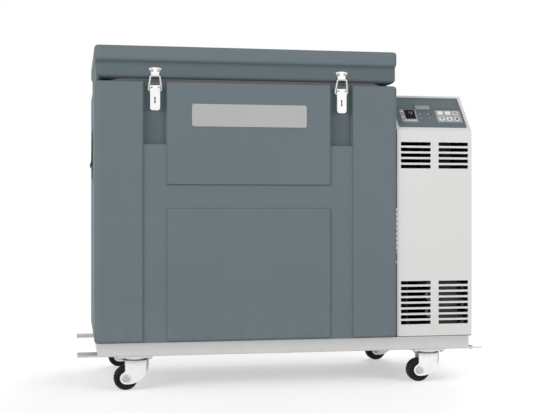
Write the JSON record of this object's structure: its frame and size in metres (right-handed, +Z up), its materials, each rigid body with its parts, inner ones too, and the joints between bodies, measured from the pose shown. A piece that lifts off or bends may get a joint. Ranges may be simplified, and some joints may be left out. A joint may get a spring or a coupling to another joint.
{
  "type": "portable blood refrigerator",
  "caption": "Insulated chest refrigerator with a latched lift-up lid, a vented machine cabinet with a sloped control face, and a castor chassis.",
  "frame": {"origin": "on the floor, under the middle of the whole object's box", "axes": "+X towards the machine cabinet, -Y towards the front with the latches, +Z up"},
  "size_m": [1.073, 0.5258, 0.878],
  "materials": {
    "shell_paint": "satin",
    "lid_paint": "satin",
    "foam": "matte",
    "liner_plastic": "satin",
    "evaporator_plate": "satin",
    "plate_metal": "satin",
    "gasket_rubber": "matte",
    "latch_steel": "polished",
    "hinge_steel": "satin",
    "pin_steel": "satin",
    "chassis_paint": "satin",
    "deck_sheet": "satin",
    "zinc_plate": "satin",
    "bolt_zinc": "satin",
    "wheel_tyre": "satin",
    "handle_plastic": "matte",
    "cup_plastic": "matte",
    "cabinet_paint": "satin",
    "fascia_plastic": "satin",
    "flap_plastic": "satin",
    "display_plastic": "satin",
    "lamp_lens": "gloss",
    "keypad_plastic": "satin",
    "key_plastic": "satin",
    "inlet_plastic": "matte",
    "compressor_enamel": "gloss",
    "fin_metal": "satin",
    "shroud_metal": "satin",
    "fan_plastic": "satin",
    "copper_line": "satin",
    "supply_case": "satin"
  },
  "bodies": {
    "root": {"chassis_frame": "chassis_paint", "base_deck": "deck_sheet", "tie_down_lugs": "chassis_paint", "chassis_bolts": "bolt_zinc", "castor_plates": "zinc_plate", "chest_shell": "shell_paint", "chest_foam": "foam", "chest_liner": "liner_plastic", "evaporator_band": "evaporator_plate", "nameplate": "plate_metal", "latch_bases": "latch_steel", "chest_hinge_leaves": "hinge_steel", "handle_cups": "cup_plastic", "pivot_pins": "pin_steel", "cabinet_front": "cabinet_paint", "cabinet_side": "cabinet_paint", "cabinet_back": "cabinet_paint", "power_inlet": "inlet_plastic", "control_fascia": "fascia_plastic", "display_module": "display_plastic", "indicator_lights": "lamp_lens", "keypad_plate": "keypad_plastic", "compressor": "compressor_enamel", "condenser": "fin_metal", "fan_shroud": "shroud_metal", "refrigerant_lines": "copper_line", "power_supply": "supply_case"},
    "lid": {"lid_shell": "lid_paint", "lid_foam": "foam", "lid_liner": "liner_plastic", "lid_gasket": "gasket_rubber", "latch_keepers": "latch_steel", "keeper_screws": "pin_steel", "lid_hinge_leaves": "hinge_steel"},
    "lever_left": {"latch_lever_left": "latch_steel"},
    "lever_right": {"latch_lever_right": "latch_steel"},
    "bail_left": {"latch_bail_left": "latch_steel"},
    "bail_right": {"latch_bail_right": "latch_steel"},
    "left_handle": {"left_handle": "handle_plastic"},
    "right_handle": {"right_handle": "handle_plastic"},
    "recorder_cover": {"recorder_cover": "flap_plastic"},
    "condenser_fan": {"condenser_fan": "fan_plastic"},
    "key_down": {"key_down": "key_plastic"},
    "key_up": {"key_up": "key_plastic"},
    "key_mute": {"key_mute": "key_plastic"},
    "key_first": {"key_first": "key_plastic"},
    "key_second": {"key_second": "key_plastic"},
    "key_power": {"key_power": "key_plastic"},
    "swivel_front_left": {"castor_fork_front_left": "zinc_plate", "castor_axle_front_left": "bolt_zinc"},
    "wheel_front_left": {"castor_wheel_front_left": "wheel_tyre"},
    "swivel_front_right": {"castor_fork_front_right": "zinc_plate", "castor_axle_front_right": "bolt_zinc"},
    "wheel_front_right": {"castor_wheel_front_right": "wheel_tyre"},
    "swivel_rear_left": {"castor_fork_rear_left": "zinc_plate", "castor_axle_rear_left": "bolt_zinc"},
    "wheel_rear_left": {"castor_wheel_rear_left": "wheel_tyre"},
    "swivel_rear_right": {"castor_fork_rear_right": "zinc_plate", "castor_axle_rear_right": "bolt_zinc"},
    "wheel_rear_right": {"castor_wheel_rear_right": "wheel_tyre"}
  },
  "joints": [
    {"name": "lid_hinge", "type": "hinge", "parent": "root", "child": "lid", "pos_m": [-0.0985, 0.25745, 0.79], "axis": [-1, 0, 0], "range_deg": [0, 100]},
    {"name": "lever_left_turn", "type": "hinge", "parent": "root", "child": "lever_left", "pos_m": [-0.34225, -0.24955, 0.77466], "axis": [-1, 0, 0], "range_deg": [0, 100]},
    {"name": "bail_left_turn", "type": "hinge", "parent": "lever_left", "child": "bail_left", "pos_m": [-0.34225, -0.25214, 0.765], "axis": [-1, 0, 0], "range_deg": [-100, 0]},
    {"name": "lever_right_turn", "type": "hinge", "parent": "root", "child": "lever_right", "pos_m": [0.14525, -0.24955, 0.77466], "axis": [-1, 0, 0], "range_deg": [0, 100]},
    {"name": "bail_right_turn", "type": "hinge", "parent": "lever_right", "child": "bail_right", "pos_m": [0.14525, -0.25214, 0.765], "axis": [-1, 0, 0], "range_deg": [-100, 0]},
    {"name": "left_handle_turn", "type": "hinge", "parent": "root", "child": "left_handle", "pos_m": [-0.489, -0.00405, 0.6605], "axis": [0, 1, 0], "range_deg": [0, 90]},
    {"name": "right_handle_turn", "type": "hinge", "parent": "root", "child": "right_handle", "pos_m": [0.501, -0.00405, 0.6605], "axis": [0, -1, 0], "range_deg": [0, 90]},
    {"name": "recorder_cover_turn", "type": "hinge", "parent": "root", "child": "recorder_cover", "pos_m": [0.4025, -0.1645, 0.76348], "axis": [-1, 0, 0], "range_deg": [0, 100]},
    {"name": "key_down_press", "type": "slide", "parent": "root", "child": "key_down", "axis": [0, 0.7315, -0.6818], "range_m": [0, 0.0006], "stiffness_N_per_m": 200, "springref_m": -0.001},
    {"name": "key_up_press", "type": "slide", "parent": "root", "child": "key_up", "axis": [0, 0.7315, -0.6818], "range_m": [0, 0.0006], "stiffness_N_per_m": 200, "springref_m": -0.001},
    {"name": "key_mute_press", "type": "slide", "parent": "root", "child": "key_mute", "axis": [0, 0.7315, -0.6818], "range_m": [0, 0.0006], "stiffness_N_per_m": 200, "springref_m": -0.001},
    {"name": "key_first_press", "type": "slide", "parent": "root", "child": "key_first", "axis": [0, 0.7315, -0.6818], "range_m": [0, 0.0006], "stiffness_N_per_m": 200, "springref_m": -0.001},
    {"name": "key_second_press", "type": "slide", "parent": "root", "child": "key_second", "axis": [0, 0.7315, -0.6818], "range_m": [0, 0.0006], "stiffness_N_per_m": 200, "springref_m": -0.001},
    {"name": "key_power_press", "type": "slide", "parent": "root", "child": "key_power", "axis": [0, 0.7315, -0.6818], "range_m": [0, 0.0006], "stiffness_N_per_m": 200, "springref_m": -0.001},
    {"name": "swivel_front_left_turn", "type": "hinge", "parent": "root", "child": "swivel_front_left", "pos_m": [-0.3915, -0.21455, 0.089], "axis": [0, 0, 1], "continuous": true},
    {"name": "wheel_front_left_spin", "type": "hinge", "parent": "swivel_front_left", "child": "wheel_front_left", "pos_m": [-0.4145, -0.21455, 0.031], "axis": [0, 1, 0], "continuous": true},
    {"name": "swivel_front_right_turn", "type": "hinge", "parent": "root", "child": "swivel_front_right", "pos_m": [0.3895, -0.21455, 0.089], "axis": [0, 0, 1], "continuous": true},
    {"name": "wheel_front_right_spin", "type": "hinge", "parent": "swivel_front_right", "child": "wheel_front_right", "pos_m": [0.3665, -0.21455, 0.031], "axis": [0, 1, 0], "continuous": true},
    {"name": "swivel_rear_left_turn", "type": "hinge", "parent": "root", "child": "swivel_rear_left", "pos_m": [-0.3915, 0.20645, 0.089], "axis": [0, 0, 1], "continuous": true},
    {"name": "wheel_rear_left_spin", "type": "hinge", "parent": "swivel_rear_left", "child": "wheel_rear_left", "pos_m": [-0.4145, 0.20645, 0.031], "axis": [0, 1, 0], "continuous": true},
    {"name": "swivel_rear_right_turn", "type": "hinge", "parent": "root", "child": "swivel_rear_right", "pos_m": [0.3895, 0.20645, 0.089], "axis": [0, 0, 1], "continuous": true},
    {"name": "wheel_rear_right_spin", "type": "hinge", "parent": "swivel_rear_right", "child": "wheel_rear_right", "pos_m": [0.3665, 0.20645, 0.031], "axis": [0, 1, 0], "continuous": true},
    {"name": "condenser_fan_spin", "type": "hinge", "parent": "root", "child": "condenser_fan", "pos_m": [0.4525, -0.17805, 0.205], "axis": [0, 1, 0], "continuous": true}
  ],
  "couplings": [
    {"joint": "bail_left_turn", "follows": "lever_left_turn", "ratio": -1},
    {"joint": "bail_right_turn", "follows": "lever_right_turn", "ratio": -1}
  ]
}
